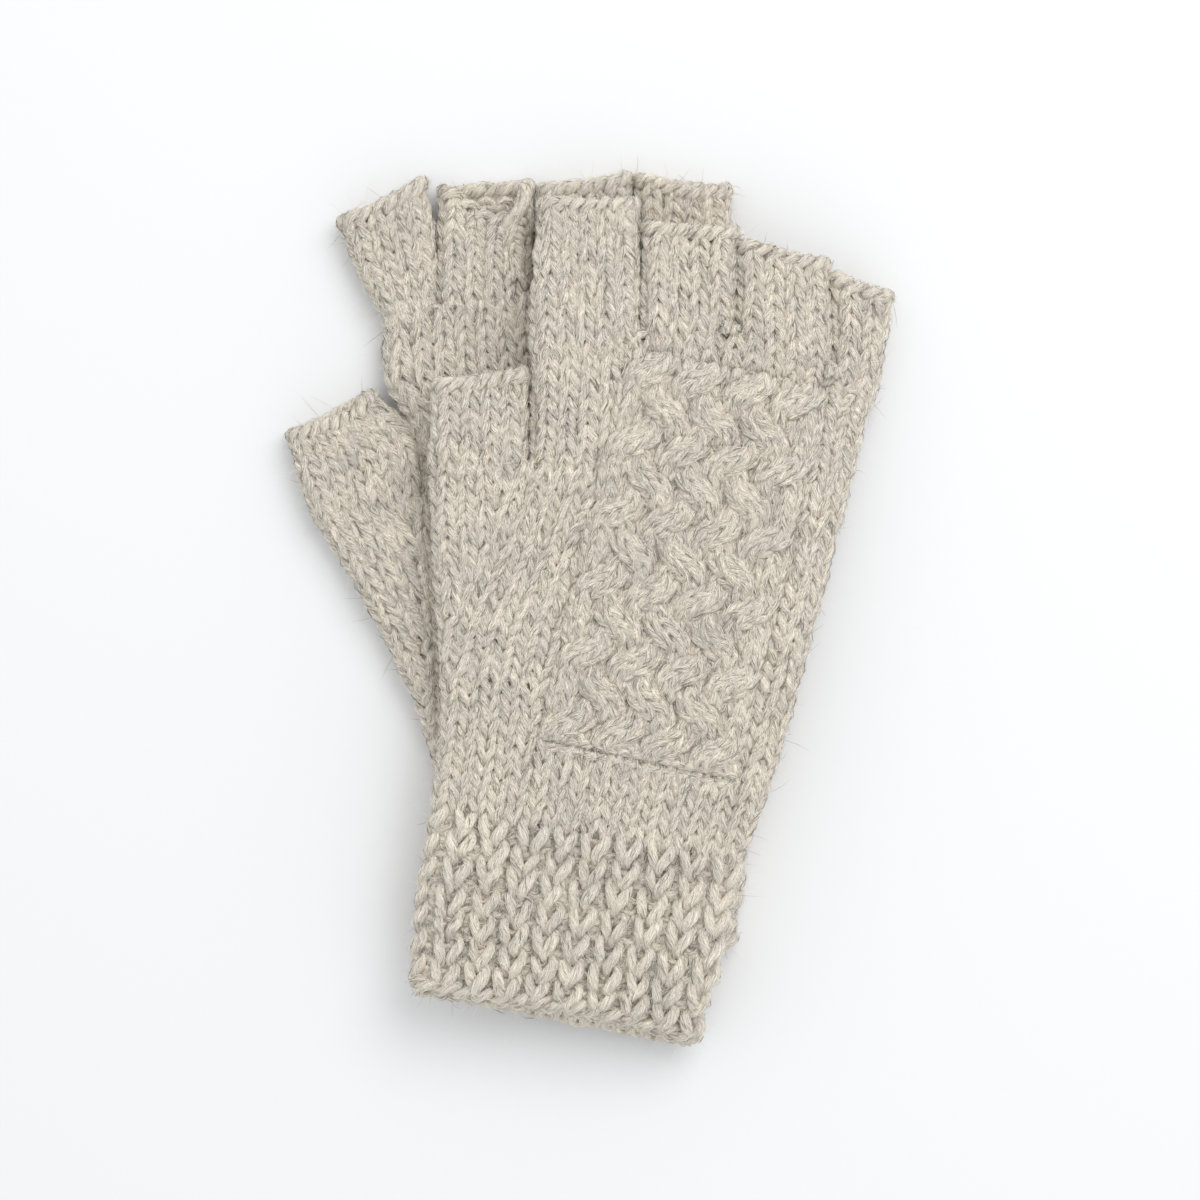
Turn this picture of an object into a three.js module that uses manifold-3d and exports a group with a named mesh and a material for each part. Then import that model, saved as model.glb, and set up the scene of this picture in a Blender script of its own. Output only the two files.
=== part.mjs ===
// A pair of hand-knitted half-finger gloves, lying flat with the right glove on top of the left one.
// Millimetres, +X across the hands, +Y towards the fingertips, +Z up from the table.
// Each glove is a cuff, a hand with a thumb gusset, a woven-look panel set in the back of the hand,
// five open finger tubes, a cast-off edge round each tube and a cast-on edge round the cuff.
import * as THREE from "three";
import { mergeVertices } from "three/addons/utils/BufferGeometryUtils.js";
import Module from "manifold-3d";

const wasm = await Module();
wasm.setup();

// ---------------------------------------------------------------- dimensions

const THICKNESS = 12; // one flattened glove: two layers of fabric and the space between them
const WALL = 2.8; // one layer of knitted fabric
const GAP = 0.3; // clearance between two pieces of one glove
const STACK_GAP = 1.2; // clearance between the two gloves
const EDGE_HEIGHT = 4; // a cast-off or cast-on edge, along the tube
const EDGE_PROUD = 0.6; // how far such an edge stands above the fabric
const PANEL_PROUD = 1.2; // how far the woven-look panel stands above the hand
const PANEL_DEPTH = 1.1; // how far the panel is let into the hand
const OVERRUN = 3; // how far a cutting solid runs past what it cuts
const TALL = 80; // half the height of the prism that trims a hand

// The upper glove runs out over the side and the cuff end of the lower one and sinks to the table.
const LOWER_SIDE_X = 41;
const LOWER_END_Y = -96;
const LOWER_END_SLOPE = 0.1;
const SIDE_RUN = 43;
const END_RUN = 30;

// Segments of a cross-section: along its flat top, and along each quarter of its round sides.
const HAND_STEPS = 12;
const CUFF_STEPS = 8;
const FINGER_STEPS = 4;
const QUARTER_STEPS = 2;
const PANEL_COLUMNS = 8;
const PANEL_ROWS = 6;

// A station is one cross-section of a tube: left edge x, y, right edge x, y, and how far the upper
// layer of its mouth sags back.  The stations of a finger run from its base to its mouth, and those
// of a cuff and a hand run from the wrist side to the finger side.
const LEFT = {
  name: "left",
  height: lowerHeight,
  panelSide: -1,
  cuff: [
    [-41.6, -100.5, 39.9, -92.4],
    [-41.6, -75, 43, -70],
    [-41.4, -50.5, 42.7, -43.8],
  ],
  hand: [
    [-41.4, -50.5, 42.7, -43.8],
    [-41.6, -20, 42.6, -15],
    [-42.4, 8, 42.2, 12],
    [-45, 31, 41.6, 34],
    [-46.4, 47, 40.8, 51],
    [-56, 57.6, 40.4, 60],
    [-56.9, 67, 40, 70],
    [-57.6, 90, 39, 92],
  ],
  gusset: [
    [-42, -46, -20, -46],
    [-49.2, -26.2, -20, -19],
    [-57, -9.5, -22, -2],
    [-66.5, 8, -25, 16],
    [-76.5, 24, -32, 32.8],
  ],
  panel: [
    [-15.5, -34, 31.6, -32],
    [-16, 64, 31, 62],
  ],
  fingers: {
    thumb: [
      [-76.5, 24, -46, 30],
      [-80.5, 34, -47.5, 46.5],
      [-83.5, 46.2, -59.5, 58.6, 3],
    ],
    index: [
      [-57, 79, -42, 79],
      [-64.5, 91, -43.6, 95],
      [-69.4, 104.6, -47.4, 116.8, 2],
    ],
    middle: [
      [-41.4, 83, -16.7, 83],
      [-41.4, 97, -16.8, 98],
      [-41.4, 113.8, -16.9, 115.8, 11],
    ],
    ring: [
      [-15.8, 84, 11.6, 84],
      [-15, 98, 11.4, 99],
      [-14.4, 114.2, 11, 118, 2],
    ],
    little: [
      [12.3, 83, 39.2, 83],
      [12.4, 98, 39, 98],
      [12.6, 117, 38.7, 114, 2],
    ],
  },
};

const RIGHT = {
  name: "right",
  height: upperHeight,
  panelSide: 1,
  cuff: [
    [-48.6, -103.2, 29.7, -119.5],
    [-47.4, -91, 33, -107],
    [-46.2, -79, 36, -94.5],
    [-43.2, -54.6, 41.9, -69.5],
  ],
  hand: [
    [-43.2, -54.6, 41.9, -69.5],
    [-41.5, -32, 50, -46],
    [-36, -4, 58.8, -13],
    [-24, 20, 66.4, 13],
    [-16.8, 34, 70.6, 30],
    [-16.6, 48, 73.8, 45],
    [-16, 62, 77.6, 57],
    [-15.4, 78, 82, 76],
  ],
  gusset: [
    [-42.6, -45, -18, -45],
    [-40.6, -26, -14, -26],
    [-41.6, -8, -10, -8],
    [-43.3, 14, -8, 14],
    [-43.8, 37.5, -9, 37.5],
  ],
  panel: [
    [-13.5, -35.7, 39.2, -45.1],
    [9.5, 67.5, 62.6, 54.6],
  ],
  fingers: {
    thumb: [
      [-43.8, 37.5, -17.4, 37.5],
      [-43.4, 48, -17.6, 50],
      [-42.9, 59.8, -17.8, 63.4, 1],
    ],
    index: [
      [-15.6, 69, 13, 69],
      [-14.6, 88, 12.2, 89],
      [-13.6, 108.8, 11.5, 109.4, 1],
    ],
    middle: [
      [13.8, 72, 38.7, 72],
      [14.8, 87, 38.8, 87],
      [15.6, 102.4, 39, 101.6, 1],
    ],
    ring: [
      [39.7, 68.5, 64.6, 68.5],
      [40.4, 83, 64.6, 82],
      [41, 98.2, 64.6, 93, 1],
    ],
    little: [
      [65.4, 57, 77.6, 57],
      [65.8, 72, 80.8, 71],
      [66.2, 89.6, 83.4, 84.6, 1],
    ],
  },
};

// The yarn: undyed alpaca-like wool, a light warm grey, slightly paler on the worked edges.
const YARN = { color: 0xd2cabb, roughness: 0.95, metalness: 0 };
const EDGE_YARN = { color: 0xd9d1c3, roughness: 0.95, metalness: 0 };

// ---------------------------------------------------------------- heights

function lowerHeight() {
  return THICKNESS / 2;
}

function upperHeight(x, y) {
  const side = Math.max(0, x - LOWER_SIDE_X) / SIDE_RUN;
  const end = Math.max(0, LOWER_END_Y + LOWER_END_SLOPE * x - y) / END_RUN;
  const sunk = Math.min(1, side * side + end * end);
  return THICKNESS / 2 + (THICKNESS + STACK_GAP) * (1 - sunk);
}

// ---------------------------------------------------------------- solids

// A closed solid from corner points and triangles.
function solidOf(points, triangles) {
  const geometry = new THREE.BufferGeometry();
  geometry.setAttribute("position", new THREE.Float32BufferAttribute(points.flat(), 3));
  geometry.setIndex(triangles.flat());
  const merged = mergeVertices(geometry, 1e-4);
  return new wasm.Manifold(
    new wasm.Mesh({
      numProp: 3,
      vertProperties: merged.attributes.position.array,
      triVerts: new Uint32Array(merged.index.array),
    }),
  );
}

// The station moved along the tube by a distance, towards its finger side.
function moved(station, distance) {
  const [lx, ly, rx, ry, sag] = station;
  const width = Math.hypot(rx - lx, ry - ly);
  const dx = (-(ry - ly) / width) * distance;
  const dy = ((rx - lx) / width) * distance;
  return [lx + dx, ly + dy, rx + dx, ry + dy, sag];
}

// The upper half of a flattened section, from its left side to its right side, as pairs of
// distance along the section and height above its middle.
function upperHalf(width, radius, steps) {
  const side = THICKNESS / 2;
  const half = [];
  for (let i = 0; i <= QUARTER_STEPS; i += 1) {
    const angle = (Math.PI / 2) * (i / QUARTER_STEPS);
    half.push([side - radius * Math.cos(angle), radius * Math.sin(angle)]);
  }
  for (let i = 1; i < steps; i += 1) {
    half.push([side + ((width - 2 * side) * i) / steps, radius]);
  }
  for (let i = QUARTER_STEPS; i >= 0; i -= 1) {
    const angle = (Math.PI / 2) * (i / QUARTER_STEPS);
    half.push([width - side + radius * Math.cos(angle), radius * Math.sin(angle)]);
  }
  return half;
}

// The ring of points round one station: over the top from left to right, and back underneath.
function ring(station, glove, shape) {
  const [lx, ly, rx, ry, sag = 0] = station;
  const width = Math.hypot(rx - lx, ry - ly);
  const [ux, uy] = [(rx - lx) / width, (ry - ly) / width];
  const radius = THICKNESS / 2 - shape.inset;
  const half = upperHalf(width, radius, shape.steps);
  const place = (along, up) => {
    const back = Math.max(0, up / radius) * sag * Math.sin((Math.PI * along) / width);
    const x = lx + ux * along + uy * back;
    const y = ly + uy * along - ux * back;
    const proud = up > 0 ? (up * (radius + shape.proud)) / radius : up;
    return [x, y, glove.height(x, y) + proud];
  };
  const over = half.map(([along, up]) => place(along, up));
  const under = half.slice(1, -1).map(([along, up]) => place(along, -up));
  return over.concat(under.reverse());
}

// A solid skinned over the stations, with flat ends.
function loft(stations, glove, options) {
  const shape = { inset: 0, proud: 0, ...options };
  const rings = stations.map((station) => ring(station, glove, shape));
  const count = rings[0].length;
  const last = (rings.length - 1) * count;
  const triangles = [];
  for (let r = 0; r + 1 < rings.length; r += 1) {
    for (let i = 0; i < count; i += 1) {
      const a = r * count + i;
      const b = r * count + ((i + 1) % count);
      triangles.push([a, b, b + count], [a, b + count, a + count]);
    }
  }
  const across = count / 2;
  for (let i = 0; i < across; i += 1) {
    const under = (count - i) % count;
    const nextUnder = count - i - 1;
    triangles.push([i, under, i + 1], [last + i, last + i + 1, last + under]);
    if (i > 0 || i < across - 1) {
      triangles.push([i + 1, under, nextUnder], [last + i + 1, last + nextUnder, last + under]);
    }
  }
  const solid = triangles.filter(([a, b, c]) => a !== b && b !== c && c !== a);
  return solidOf(rings.flat(), solid);
}

// A tube with open ends and walls of fabric.
function tube(stations, glove, options) {
  const long = [...stations];
  long[0] = moved(long[0], -OVERRUN);
  long[long.length - 1] = moved(long[long.length - 1], OVERRUN);
  const outside = loft(stations, glove, options);
  return outside.subtract(loft(long, glove, { ...options, inset: WALL, proud: 0 }));
}

// ---------------------------------------------------------------- pieces of one glove

// A finger tube stops short of its cast-off edge, and starts just clear of the hand.
function fingerTube(glove, finger) {
  const stations = [...glove.fingers[finger]];
  stations[0] = moved(stations[0], GAP / 2);
  stations[stations.length - 1] = moved(stations[stations.length - 1], -EDGE_HEIGHT - GAP);
  return tube(stations, glove, { steps: FINGER_STEPS });
}

function fingerEdge(glove, finger) {
  const mouth = glove.fingers[finger].at(-1);
  const stations = [moved(mouth, -EDGE_HEIGHT), mouth];
  return tube(stations, glove, { steps: FINGER_STEPS, proud: EDGE_PROUD });
}

function cuffTube(glove) {
  const stations = [...glove.cuff];
  stations[0] = moved(stations[0], EDGE_HEIGHT + GAP);
  stations[stations.length - 1] = moved(stations[stations.length - 1], -GAP / 2);
  return tube(stations, glove, { steps: CUFF_STEPS });
}

function cuffEdge(glove) {
  const end = glove.cuff[0];
  const stations = [end, moved(end, EDGE_HEIGHT)];
  return tube(stations, glove, { steps: CUFF_STEPS, proud: EDGE_PROUD });
}

// The upright prism that trims a hand: the wrist line below, and a step for each finger above.
function handPrism(glove) {
  const wrist = moved(glove.cuff.at(-1), GAP / 2);
  const [lx, ly, rx, ry] = wrist;
  const slope = (ry - ly) / (rx - lx);
  const far = 2 * TALL;
  const outline = [
    [-far, ly + slope * (-far - lx)],
    [far, ry + slope * (far - rx)],
  ];
  const bases = ["little", "ring", "middle", "index"].map((finger) => glove.fingers[finger][0]);
  let x = far;
  bases.forEach(([baseLeft, baseY], i) => {
    const next = bases[i + 1];
    outline.push([x, baseY - GAP / 2]);
    x = next ? (baseLeft + next[2]) / 2 : -far;
    outline.push([x, baseY - GAP / 2]);
  });
  const shape = new THREE.Shape(outline.map(([px, py]) => new THREE.Vector2(px, py)));
  const prism = new THREE.ExtrudeGeometry(shape, { depth: 2 * TALL, bevelEnabled: false });
  prism.translate(0, 0, -TALL);
  prism.deleteAttribute("normal");
  prism.deleteAttribute("uv");
  const merged = mergeVertices(prism, 1e-4);
  return new wasm.Manifold(
    new wasm.Mesh({
      numProp: 3,
      vertProperties: merged.attributes.position.array,
      triVerts: new Uint32Array(merged.index.array),
    }),
  );
}

// A slab that follows the outer face of the hand, between two heights measured outwards from it.
function panelSlab(glove, low, high, grow) {
  const [bottom, top] = glove.panel;
  const first = moved(bottom, -grow);
  const last = moved(top, grow);
  const points = [];
  for (const level of [low, high]) {
    for (let row = 0; row <= PANEL_ROWS; row += 1) {
      for (let column = 0; column <= PANEL_COLUMNS; column += 1) {
        const v = row / PANEL_ROWS;
        const edge = first.slice(0, 4).map((value, i) => value + (last[i] - value) * v);
        const left = edge[0] - grow;
        const width = edge[2] - edge[0] + 2 * grow;
        const u = column / PANEL_COLUMNS;
        const x = left + width * u;
        const y = edge[1] + (edge[3] - edge[1]) * u;
        const face = glove.height(x, y) + (glove.panelSide * THICKNESS) / 2;
        points.push([x, y, face + glove.panelSide * level]);
      }
    }
  }
  const row = PANEL_COLUMNS + 1;
  const layer = row * (PANEL_ROWS + 1);
  const triangles = [];
  const quad = (a, b, c, d) => triangles.push([a, b, c], [a, c, d]);
  for (let r = 0; r < PANEL_ROWS; r += 1) {
    for (let c = 0; c < PANEL_COLUMNS; c += 1) {
      const a = r * row + c;
      quad(a, a + row, a + row + 1, a + 1);
      quad(a + layer, a + layer + 1, a + layer + row + 1, a + layer + row);
    }
  }
  for (let c = 0; c < PANEL_COLUMNS; c += 1) {
    const a = PANEL_ROWS * row + c;
    quad(c, c + 1, c + 1 + layer, c + layer);
    quad(a + 1, a, a + layer, a + 1 + layer);
  }
  for (let r = 0; r < PANEL_ROWS; r += 1) {
    const a = r * row;
    const b = a + PANEL_COLUMNS;
    quad(a + row, a, a + layer, a + row + layer);
    quad(b, b + row, b + row + layer, b + layer);
  }
  const turned = triangles.map(([a, b, c]) => [a, c, b]);
  return solidOf(points, glove.panelSide > 0 ? triangles : turned);
}

// Set flush in the face that lies on the table, and proud of the face that shows.
function panel(glove) {
  const proud = glove.panelSide > 0 ? PANEL_PROUD : 0;
  return panelSlab(glove, -PANEL_DEPTH, proud, 0);
}

// The tube round the four fingers' roots joined to the thumb gusset, hollow all through.
function hand(glove) {
  const options = { steps: HAND_STEPS };
  const body = loft(glove.hand, glove, options);
  const gusset = loft(glove.gusset, glove, { steps: FINGER_STEPS });
  const bodyRoom = [moved(glove.hand[0], -OVERRUN), ...glove.hand.slice(1, -1)];
  bodyRoom.push(moved(glove.hand.at(-1), OVERRUN));
  const thumbBase = glove.fingers.thumb[0];
  const gussetRoom = [...glove.gusset.slice(1, -1), thumbBase, moved(thumbBase, OVERRUN)];
  const pocket = panelSlab(glove, -PANEL_DEPTH - GAP, OVERRUN, GAP);
  return body
    .intersect(handPrism(glove))
    .add(gusset)
    .subtract(loft(bodyRoom, glove, { ...options, inset: WALL }))
    .subtract(loft(gussetRoom, glove, { steps: FINGER_STEPS, inset: WALL }))
    .subtract(pocket);
}

// ---------------------------------------------------------------- the pair

function meshOf(name, solid, look) {
  const { vertProperties, triVerts } = solid.getMesh();
  const geometry = new THREE.BufferGeometry();
  geometry.setAttribute("position", new THREE.BufferAttribute(vertProperties, 3));
  geometry.setIndex(new THREE.BufferAttribute(triVerts, 1));
  geometry.computeVertexNormals();
  const mesh = new THREE.Mesh(geometry, new THREE.MeshStandardMaterial(look));
  mesh.name = name;
  return mesh;
}

function gloveGroup(glove) {
  const group = new THREE.Group();
  group.add(
    meshOf(`${glove.name}_cuff`, cuffTube(glove), YARN),
    meshOf(`${glove.name}_cuff_cast_on_edge`, cuffEdge(glove), EDGE_YARN),
    meshOf(`${glove.name}_hand`, hand(glove), YARN),
    meshOf(`${glove.name}_woven_panel`, panel(glove), YARN),
  );
  for (const finger of Object.keys(glove.fingers)) {
    group.add(
      meshOf(`${glove.name}_${finger}`, fingerTube(glove, finger), YARN),
      meshOf(`${glove.name}_${finger}_cast_off_edge`, fingerEdge(glove, finger), EDGE_YARN),
    );
  }
  return group;
}

const gloves = new THREE.Group();
gloves.name = "fingerless_gloves";
gloves.add(gloveGroup(LEFT), gloveGroup(RIGHT));

// The origin is on the table, under the middle of the pair.
const middle = new THREE.Box3().setFromObject(gloves).getCenter(new THREE.Vector3());
gloves.position.set(-middle.x, -middle.y, 0);

export default gloves;
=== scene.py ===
import math

import bpy
import numpy as np
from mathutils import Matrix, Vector


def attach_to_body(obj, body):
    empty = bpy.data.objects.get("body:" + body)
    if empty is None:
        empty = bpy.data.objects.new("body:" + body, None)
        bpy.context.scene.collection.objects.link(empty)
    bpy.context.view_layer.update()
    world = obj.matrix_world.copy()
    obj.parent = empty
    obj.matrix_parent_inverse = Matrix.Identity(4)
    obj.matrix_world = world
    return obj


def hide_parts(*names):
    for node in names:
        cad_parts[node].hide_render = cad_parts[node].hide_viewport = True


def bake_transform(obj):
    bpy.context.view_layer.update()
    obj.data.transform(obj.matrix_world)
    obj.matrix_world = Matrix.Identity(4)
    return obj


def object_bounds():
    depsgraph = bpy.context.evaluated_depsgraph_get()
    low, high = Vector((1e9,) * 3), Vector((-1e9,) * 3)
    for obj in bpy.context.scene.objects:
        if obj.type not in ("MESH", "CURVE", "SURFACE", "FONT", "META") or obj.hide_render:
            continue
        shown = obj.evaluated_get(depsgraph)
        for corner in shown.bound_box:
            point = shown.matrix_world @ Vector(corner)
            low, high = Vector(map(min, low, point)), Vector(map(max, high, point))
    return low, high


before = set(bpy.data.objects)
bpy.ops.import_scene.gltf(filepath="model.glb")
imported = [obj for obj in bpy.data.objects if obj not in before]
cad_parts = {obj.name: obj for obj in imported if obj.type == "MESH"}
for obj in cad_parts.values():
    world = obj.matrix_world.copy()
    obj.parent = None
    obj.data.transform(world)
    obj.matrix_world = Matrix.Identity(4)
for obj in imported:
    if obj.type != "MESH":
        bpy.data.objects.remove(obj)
cad_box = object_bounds()

# ---------------------------------------------------------------- dimensions, in millimetres

MM = 0.001  # metres in a millimetre
THICKNESS = 12.0  # one flattened glove
STACK_GAP = 1.2  # clearance between the two gloves
FOLD = THICKNESS / 2  # how far the middle of a side fold lies from the outline
CORE = 3.85  # from the middle of a glove to the middle of its fabric
WALE = 5.1  # width of one stocking stitch
COURSE = 3.7  # height of one stocking stitch
YARN = 1.3  # radius of the yarn
RIB = 8.9  # width of one rib of the cuff
RIB_COURSE = 7.2  # height of one of its stitches
RIB_YARN = 1.42  # radius of the yarn there, where it is slack
GROUND_COURSE = 3.7  # height of the purl stitches behind the ribs
GROUND_LEVEL = -0.75  # how far out they lie
GROUND_RELIEF = -0.6
GROUND_YARN = 1.15
EDGE = 4.0  # a cast-off or cast-on edge, along the tube
EDGE_SHARE = 0.6  # of that, by which a tube's plain stitches stop short of its mouth
HAND_STITCHES = 17  # over one face of the hand, without the gusset
ROOT_LEVEL = -0.6  # how far out the extra course at a tube's root lies: inside its fabric
SAG_SKEW = 1.6  # above 1, the mouth of a tube sags most to the right of its middle
PRESSED_HEIGHT = 1.0  # wool lower than this gives way to the table

# The shape of a stitch: how far its legs lean, how high its loop stands and how far its legs come
# forward, as shares of its width and height and in millimetres.
LEAN = 0.26
LOOP = 0.95
RELIEF = 0.8

LEG_SWELL = 0.1  # how much fatter the yarn is in a stitch's legs than in its loops

STITCH_SEGMENTS = 14
YARN_SIDES = 6

# The lining: a thin layer in the middle of the fabric that closes the gaps between stitches.
# Its wool is darker than the yarn's: painted shade in those gaps.
LINING_STEPS = 24
LINING_ROW = 4.0
LINING_OUT = -0.1
LINING_IN = 0.7

# The upper glove runs out over the side and the cuff end of the lower one and sinks to the table.
LOWER_SIDE_X = 41
LOWER_END_Y = -96
LOWER_END_SLOPE = 0.1
SIDE_RUN = 43
END_RUN = 30

# A station is one cross-section of a tube: left edge x, y, right edge x, y, and how far the upper
# layer of its mouth sags back.  The hand's lower part holds the thumb gusset, and "gusset" is the
# share of the width that it takes at each station.  "rise" lifts the last rows of the hand to the
# finger roots: pairs of x and the distance at the top row.  "panel_side" is 1 where the panel faces
# up and -1 where it faces the table, "weave" is how far its strands rise and dip where they cross,
# and "bobbles" are the x and y of small knots of yarn.
LEFT = {
    "name": "left",
    "cuff": [
        (-41.6, -100.5, 39.9, -92.4),
        (-41.6, -75, 43, -70),
        (-41.4, -50.5, 42.7, -43.8),
    ],
    "palm": [
        (-41.4, -50.5, 42.7, -43.8),
        (-48, -29, 42.6, -18),
        (-57, -9.5, 42.3, 5),
        (-67, 9, 41.9, 24),
        (-76.5, 24, 41.6, 37),
    ],
    "gusset": (0, 0.066, 0.14, 0.206, 0.2625),
    "palm_rows": 22,
    "knuckles": [
        (-46.6, 27.5, 41.6, 37),
        (-48.2, 46, 40.9, 52),
        (-56, 58, 40.4, 64),
        (-57, 76, 39.4, 81),
    ],
    "knuckle_rows": 13,
    "rise": ((-57, 2.6), (-42, 3), (-29, 5.5), (-2, 5), (12, 3.5), (26, 2.7), (40, 2)),
    "panel": [(-15.5, -34, 31.6, -32), (-16, 64, 31, 62)],
    "panel_side": -1,
    "weave": (0.1, 0.9),
    "bobbles": (),
    "fingers": {
        "thumb": [
            (-76.5, 24, -44.4, 29),
            (-80.5, 34, -46, 45),
            (-83.5, 46.2, -58.8, 58.6, 3),
        ],
        "index": [
            (-57, 79, -41.1, 79),
            (-64.5, 91, -41.2, 95),
            (-69.4, 104.6, -45.8, 116.8, 2),
        ],
        "middle": [
            (-42.5, 83, -15.5, 83),
            (-42.3, 97, -15.4, 98),
            (-41.8, 113.8, -15.7, 115.8, 10),
        ],
        "ring": [
            (-16.2, 84, 12, 84),
            (-15.8, 98, 12, 99),
            (-15.2, 114.2, 11.4, 118, 2),
        ],
        "little": [
            (11.8, 83, 39.4, 83),
            (11.8, 98, 39.2, 98),
            (12, 117, 38.9, 114, 2),
        ],
    },
}

RIGHT = {
    "name": "right",
    "cuff": [
        (-48.6, -103.2, 29.7, -119.5, -3),
        (-47.4, -91, 33, -107),
        (-46.2, -79, 36, -94.5),
        (-43.2, -54.6, 41.9, -69.5),
    ],
    "palm": [
        (-43.2, -54.6, 41.9, -69.5),
        (-40.8, -30, 50.5, -45),
        (-41.6, -6, 58.8, -16),
        (-43.2, 16, 66, 12),
        (-43.8, 37.5, 72, 35),
    ],
    "gusset": (0, 0, 0.056, 0.158, 0.231),
    "palm_rows": 27,
    "knuckles": [
        (-17, 37.5, 72, 35),
        (-16.6, 50, 74.5, 46),
        (-16, 66, 77.6, 55),
    ],
    "knuckle_rows": 9,
    "rise": ((-16, 3), (13, 8), (26, 11), (39, 12), (52, 10.5), (60, 9), (66, 7), (71, 2)),
    "panel": [(-13.5, -35.7, 39.2, -45.1), (10.2, 70.5, 63.3, 57.6)],
    "panel_side": 1,
    "weave": (1.2, 1.2),
    "bobbles": ((37.6, 74), (65.4, 62.5)),
    "fingers": {
        "thumb": [
            (-43.8, 37.5, -16, 37.5),
            (-43.4, 48, -16.1, 50),
            (-42.9, 59.8, -16.6, 63.4, 1),
        ],
        "index": [
            (-16.9, 69, 14.2, 69),
            (-15.9, 88, 14.1, 89),
            (-14.2, 108.8, 13.1, 109.4, 1),
        ],
        "middle": [
            (12.7, 72, 40.1, 72),
            (13, 87, 40.3, 87),
            (13.9, 102.4, 40.3, 101.6, 1),
        ],
        "ring": [
            (38.7, 69.5, 65.8, 64.5),
            (39, 83, 65.8, 81),
            (39.5, 98.2, 65.6, 93, 1),
        ],
        "little": [
            (64.4, 58.5, 78.4, 56),
            (64.8, 73, 81.2, 71),
            (65.2, 89.6, 83.6, 84.6, 1),
        ],
    },
}

# The frame's origin is in the middle of the pair, so these two points of the outline place it.
LEFT_THUMB_TIP_X = -83.5
LEFT_RING_TIP_Y = 118.0
ORIGIN = np.array(
    [cad_box[0].x / MM - LEFT_THUMB_TIP_X, cad_box[1].y / MM - LEFT_RING_TIP_Y, 0.0]
)

# ---------------------------------------------------------------- heights


def lower_height(x, y):
    return np.full_like(x, THICKNESS / 2)


def upper_height(x, y):
    side = np.maximum(0, x - LOWER_SIDE_X) / SIDE_RUN
    end = np.maximum(0, LOWER_END_Y + LOWER_END_SLOPE * x - y) / END_RUN
    sunk = np.minimum(1, side**2 + end**2)
    return THICKNESS / 2 + (THICKNESS + STACK_GAP) * (1 - sunk)


# The slow rise and fall of cloth that isn't stretched: waves of x factor, y factor, phase.
SWELLS = ((0.21, 0.05, 0.3), (-0.09, 0.17, 1.9), (0.12, -0.2, 4.1), (0.04, 0.31, 2.6))
SWELL_HEIGHT = 0.17


def swell(x, y):
    return SWELL_HEIGHT * sum(np.sin(a * x + b * y + c) for a, b, c in SWELLS)


def smooth(x):
    x = np.clip(x, 0, 1)
    return x * x * (3 - 2 * x)


# ---------------------------------------------------------------- surfaces

NORMAL_STEP = 0.05  # how far on each side of a point with_normals looks, in millimetres along
AROUND_SPAN = 20.0  # what it divides that by for its step round a tube
STRAND_SPAN = 4.0  # and for its step across a strand of the panel


def unit(v):
    return v / np.maximum(np.linalg.norm(v, axis=-1, keepdims=True), 1e-9)


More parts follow.
